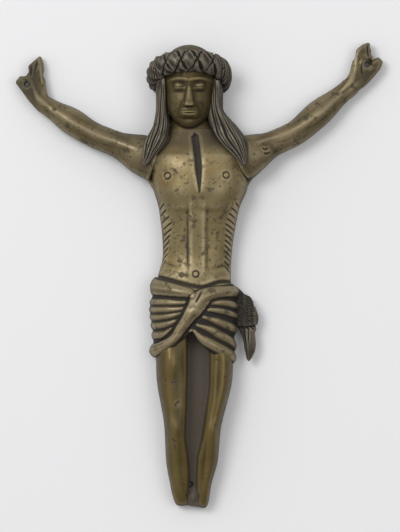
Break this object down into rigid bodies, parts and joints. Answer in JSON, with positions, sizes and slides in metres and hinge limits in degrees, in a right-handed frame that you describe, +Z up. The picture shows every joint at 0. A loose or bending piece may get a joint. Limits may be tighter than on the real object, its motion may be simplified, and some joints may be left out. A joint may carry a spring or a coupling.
{
  "type": "crucifix corpus",
  "caption": "Small cast brass figure from a crucifix, flat at the back, with raised arms, a twisted crown, a knotted loincloth and nail holes to fix it to a cross.",
  "frame": {"origin": "centre of the foot nail hole, on the flat back", "axes": "+Z up to the head, +X to the figure's left, +Y out of the flat back, so the front faces -Y"},
  "size_m": [0.1365, 0.0233, 0.1718],
  "materials": {
    "worn_brass": "worn cast brass, dark in the hollows",
    "dark_brass": "dark cast brass with a dull patina"
  },
  "bodies": {
    "root": {"body": "worn_brass", "right_arm": "worn_brass", "left_arm": "worn_brass", "shoulder_pins": "dark_brass", "crown_of_thorns": "dark_brass", "hair_right": "dark_brass", "hair_left": "dark_brass", "loincloth": "worn_brass", "loincloth_knot": "dark_brass"}
  },
  "joints": []
}
